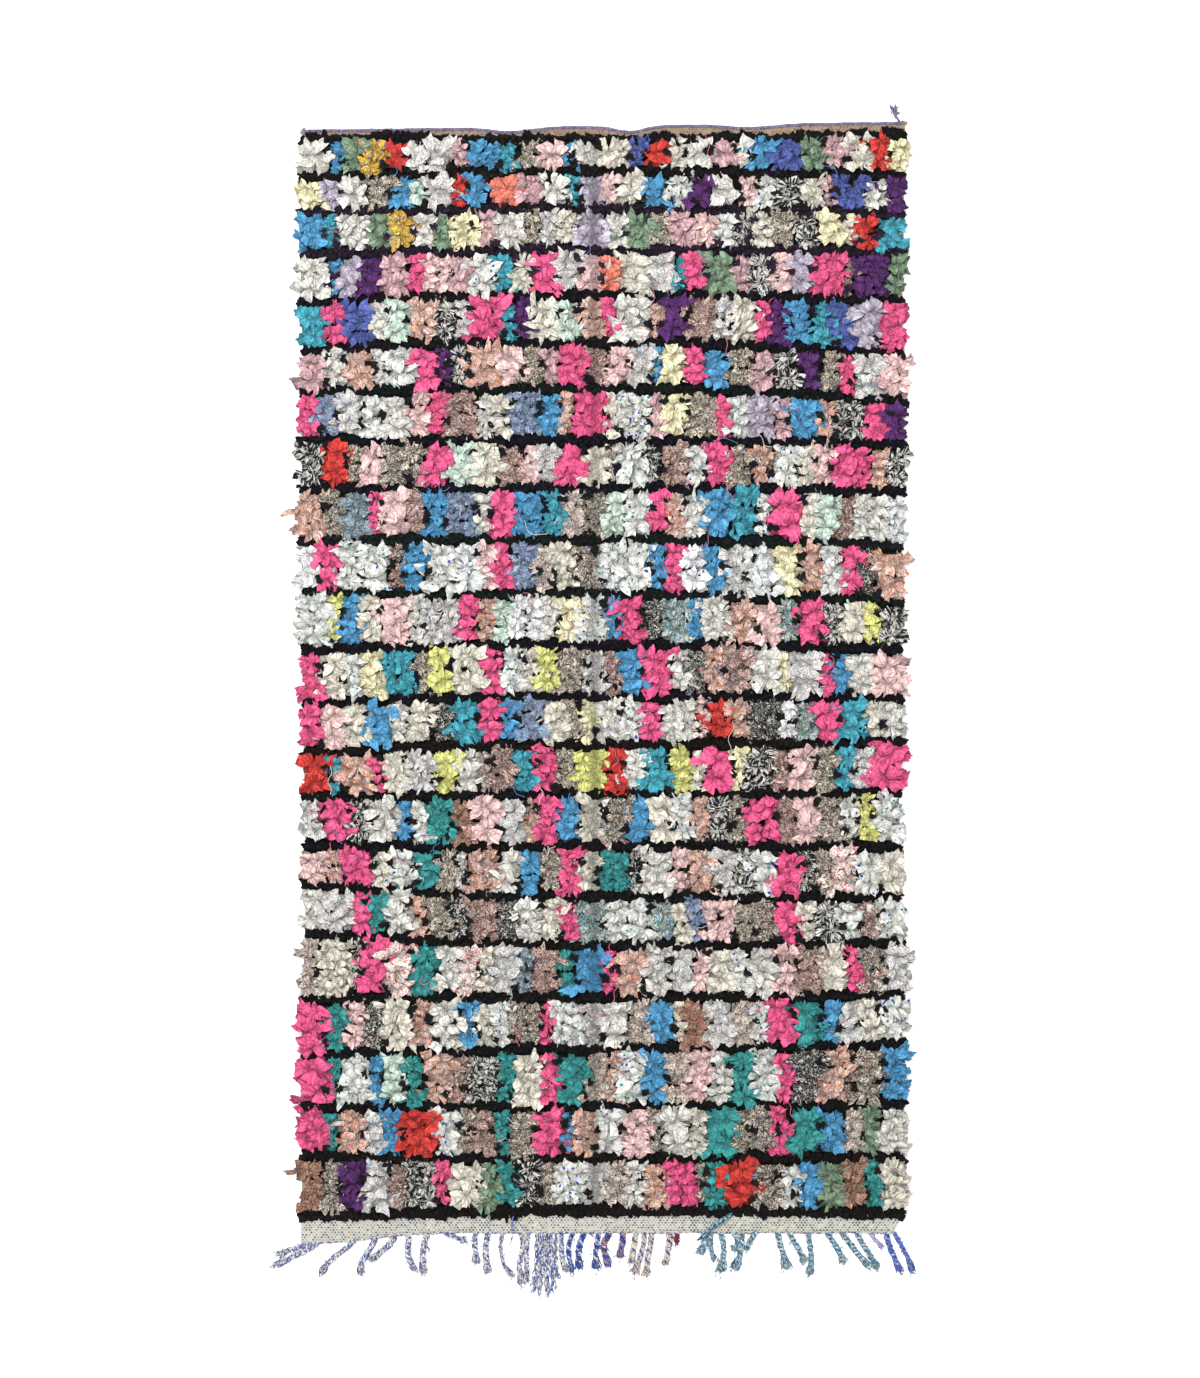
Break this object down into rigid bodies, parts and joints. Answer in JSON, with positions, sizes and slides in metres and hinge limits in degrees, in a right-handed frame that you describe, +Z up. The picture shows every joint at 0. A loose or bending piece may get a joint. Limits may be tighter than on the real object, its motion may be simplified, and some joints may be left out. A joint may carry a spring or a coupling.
{
  "type": "boucherouite rug",
  "caption": "Flat rectangular rag-pile rug, lumpy all over, with rag ends along its sides, a twined cord on its top edge and a knotted warp fringe at its foot.",
  "frame": {"origin": "on the floor under the middle of the whole rug with its fringe", "axes": "+Z up from the floor, X across the rug, +Y along it from the fringe to the top edge"},
  "size_m": [1.4341, 2.668, 0.028],
  "materials": {
    "rug": "matt cotton and jersey rags in many colours on a cotton web",
    "warp_fringe": "matt blue and white marled cotton yarn",
    "edge_cord": "matt lavender yarn"
  },
  "bodies": {
    "root": {"rug": "rug", "warp_fringe": "warp_fringe", "edge_cord": "edge_cord"}
  },
  "joints": []
}
